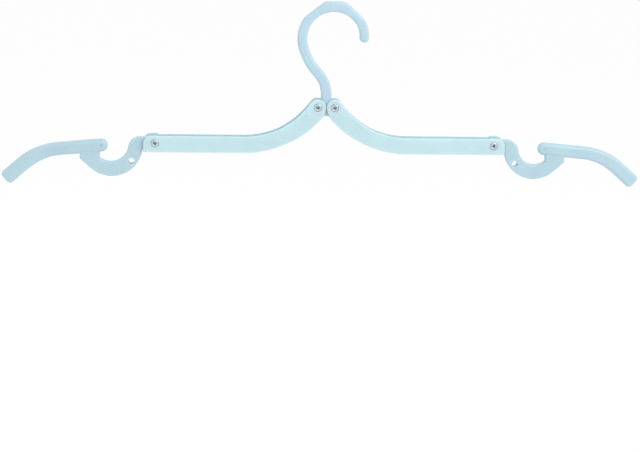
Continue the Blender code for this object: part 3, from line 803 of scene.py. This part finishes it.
SATIN = 0.36                        # roughness of the ground mould's finish
ARM_MILK = 0.5                      # thin walls let more light through
BAR_MILK = 0.3                      # than solid bars
arm_finish = moulded_polypropylene("moulded_polypropylene_sky", "b5cfd5", "b9d3d8",
                                   SATIN, ARM_MILK)
# The hook is the outer arms' plastic painted a little lighter: painted light for the brighter light
# that falls on the hook.
hook_finish = moulded_polypropylene("moulded_polypropylene_mist_painted_lighter", "acc6d3", "b0cad6",
                                    SATIN, BAR_MILK)
tip_finish = moulded_polypropylene("moulded_polypropylene_mist", "a7c2cd", "abc6d0",
                                   SATIN, BAR_MILK)
print("finishes:", arm_finish.name, hook_finish.name, tip_finish.name)

# %% [markdown]
# The rivets are steel with a thin nickel plate, a metal's soft reflection in a cool grey. Turning
# leaves rings too fine to see, so the roughness only wanders in scuffs just under a millimetre
# wide. The colour lightens with the depth in the bore, which is painted light.

# %% Nickel-plated steel
SCUFF_SIZE = 0.0009                 # metres
SCUFF_DETAIL = 3.0
POLISHED = 0.06                     # how far the roughness goes below the finish's own
SCUFFED = 0.1                       # and above it


def nickel_plate(name, base_hex, painted_bore_light_hex, roughness):
    """Plated metal that goes from one tone to a lighter one with the depth in the bore, as painted
    light.
    """
    material, tree = new_material(name)
    place = add_node(tree, "ShaderNodeTexCoord").outputs["Object"]
    scuffs = add_node(tree, "ShaderNodeTexNoise",
                      {"Scale": 1 / SCUFF_SIZE, "Detail": SCUFF_DETAIL}, {"Vector": place})
    bore = add_node(tree, "ShaderNodeAttribute", attribute_name="depth_in_bore").outputs["Fac"]
    # lighter deep in the bore: painted light
    colour = add_node(tree, "ShaderNodeValToRGB", None, {"Fac": bore})
    for stop, tone in zip(colour.color_ramp.elements, (base_hex, painted_bore_light_hex)):
        stop.color = linear(tone)
    wander = add_node(tree, "ShaderNodeMapRange",
                      {"To Min": roughness - POLISHED, "To Max": roughness + SCUFFED},
                      {"Value": scuffs.outputs["Fac"]})
    shader = add_node(tree, "ShaderNodeBsdfPrincipled", {"Metallic": 1.0},
                      {"Base Color": colour.outputs["Color"],
                       "Roughness": wander.outputs["Result"]})
    add_node(tree, "ShaderNodeOutputMaterial", None, {"Surface": shader.outputs["BSDF"]})
    return material


DULL_PLATE = 0.34                   # roughness of barrel-plated rivets
# the second colour is painted light, lighter deep in the bore
rivet_finish = nickel_plate("nickel_plated_steel", "bac7cf", "cdd6dc", DULL_PLATE)

# %% [markdown]
# Every piece takes one finish all over, the one of the material slot that it was given above.

# %% Dress every piece
FINISHES = {"inner_arm_plastic": arm_finish, "hook_plastic": hook_finish,
            "outer_arm_plastic": tip_finish, "rivet_steel": rivet_finish}
for name in COUNTS:
    piece = bpy.data.objects[name]
    piece.data.materials.clear()
    piece.data.materials.append(FINISHES[piece["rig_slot"]])
print("dressed", len(COUNTS), "pieces,", sum(COUNTS.values()), "triangles")

# %% [markdown]
# ## The studio
# The photograph is a picture on white with no shadow at all. A broad pale floor far below the
# hanger, under a bright white sky, gives the same from every side: the floor is too far down to
# take a shadow, and so wide that its rim is lost in the sky.

# %% Stage
FLOOR_DROP = 0.9                    # metres below the rail seat
FLOOR_RADIUS = 40.0                 # metres
FLOOR_SIDES = 96

bpy.ops.object.select_all(action="DESELECT")
bpy.ops.mesh.primitive_circle_add(vertices=FLOOR_SIDES, radius=FLOOR_RADIUS, fill_type="NGON",
                                  location=(0, 0, -FLOOR_DROP))
floor = bpy.context.object
floor.name = "studio_floor"

paper, tree = new_material("matt_paper")
shader = add_node(tree, "ShaderNodeBsdfPrincipled",
                  {"Base Color": linear("f9f9f9"), "Roughness": 1.0, "Specular IOR Level": 0.0})
add_node(tree, "ShaderNodeOutputMaterial", None, {"Surface": shader.outputs["BSDF"]})
floor.data.materials.append(paper)
print(f"the floor is {FLOOR_DROP} m below the rail")

# %% [markdown]
# The sky is white and a little over full strength, so that the background comes out white. A soft
# box to the front, the right and above the hanger makes the tops of the arms a little brighter than
# their undersides and puts a broad gloss on the bars. The Standard view keeps the colours as given.

# %% Light
SKY = 1.04
SOFTBOX_PLACE = (0.9, -1.1, 0.9)    # metres
SOFTBOX_SIZE = 0.9
SOFTBOX_WATTS = 10

world = bpy.data.worlds.new("soft_white")
world.use_nodes = True
world.node_tree.nodes["Background"].inputs["Color"].default_value = (1, 1, 1, 1)
world.node_tree.nodes["Background"].inputs["Strength"].default_value = SKY
bpy.context.scene.world = world
bpy.context.scene.view_settings.view_transform = "Standard"


def softbox(name, place, size, watts):
    """A square lamp that shines at the origin."""
    bpy.ops.object.select_all(action="DESELECT")
    bpy.ops.object.light_add(type="AREA", location=place)
    lamp = bpy.context.object
    lamp.name = name
    lamp.data.shape = "SQUARE"
    lamp.data.size = size
    lamp.data.energy = watts
    lamp.rotation_euler = Vector(place).to_track_quat("Z", "Y").to_euler()


softbox("front_softbox", SOFTBOX_PLACE, SOFTBOX_SIZE, SOFTBOX_WATTS)
print("lit by the sky and", bpy.context.object.name)

# %% [markdown]
# ## The camera
# The photograph was taken from a little to the left, from about nine degrees above and one metre
# away, with the camera turned a touch on its axis. These values come from fitting the outline of
# the whole hanger to the picture. The camera is set back from a point on the hanger, and turned so
# that this point falls on its pixel, which is off the middle of the frame.

# %% Camera at the photograph's place
PHOTO_WIDTH = 640
PHOTO_HEIGHT = 452
SENSOR = 36.0
FOCAL_PX = 1531.2                   # the lens in pixels of the photograph
CAMERA_AZIMUTH = -4.646
CAMERA_ELEVATION = 9.271
CAMERA_DISTANCE = 0.999             # metres
CAMERA_ROLL = 1.308
AIM = Vector((0, 0, -0.0745))       # metres, this point falls on AIM_PIXEL
AIM_PIXEL = (325.46, 127.54)

azimuth, elevation = radians(CAMERA_AZIMUTH), radians(CAMERA_ELEVATION)
back = Vector((sin(azimuth) * cos(elevation), -cos(azimuth) * cos(elevation), sin(elevation)))
bpy.ops.object.camera_add(location=AIM + back * CAMERA_DISTANCE)
camera = bpy.context.object
camera.name = "camera"
camera.data.sensor_width = SENSOR
camera.data.lens = FOCAL_PX * SENSOR / PHOTO_WIDTH
aimed = Vector(((AIM_PIXEL[0] - PHOTO_WIDTH / 2) / FOCAL_PX,
                (PHOTO_HEIGHT / 2 - AIM_PIXEL[1]) / FOCAL_PX, -1))
turn = aimed.rotation_difference(Vector((0, 0, -1)))
roll = Quaternion((0, 0, 1), radians(CAMERA_ROLL))
camera.rotation_mode = "QUATERNION"
camera.rotation_quaternion = back.to_track_quat("Z", "Y") @ roll @ turn
bpy.context.scene.camera = camera
print(f"lens {camera.data.lens:.1f} mm")
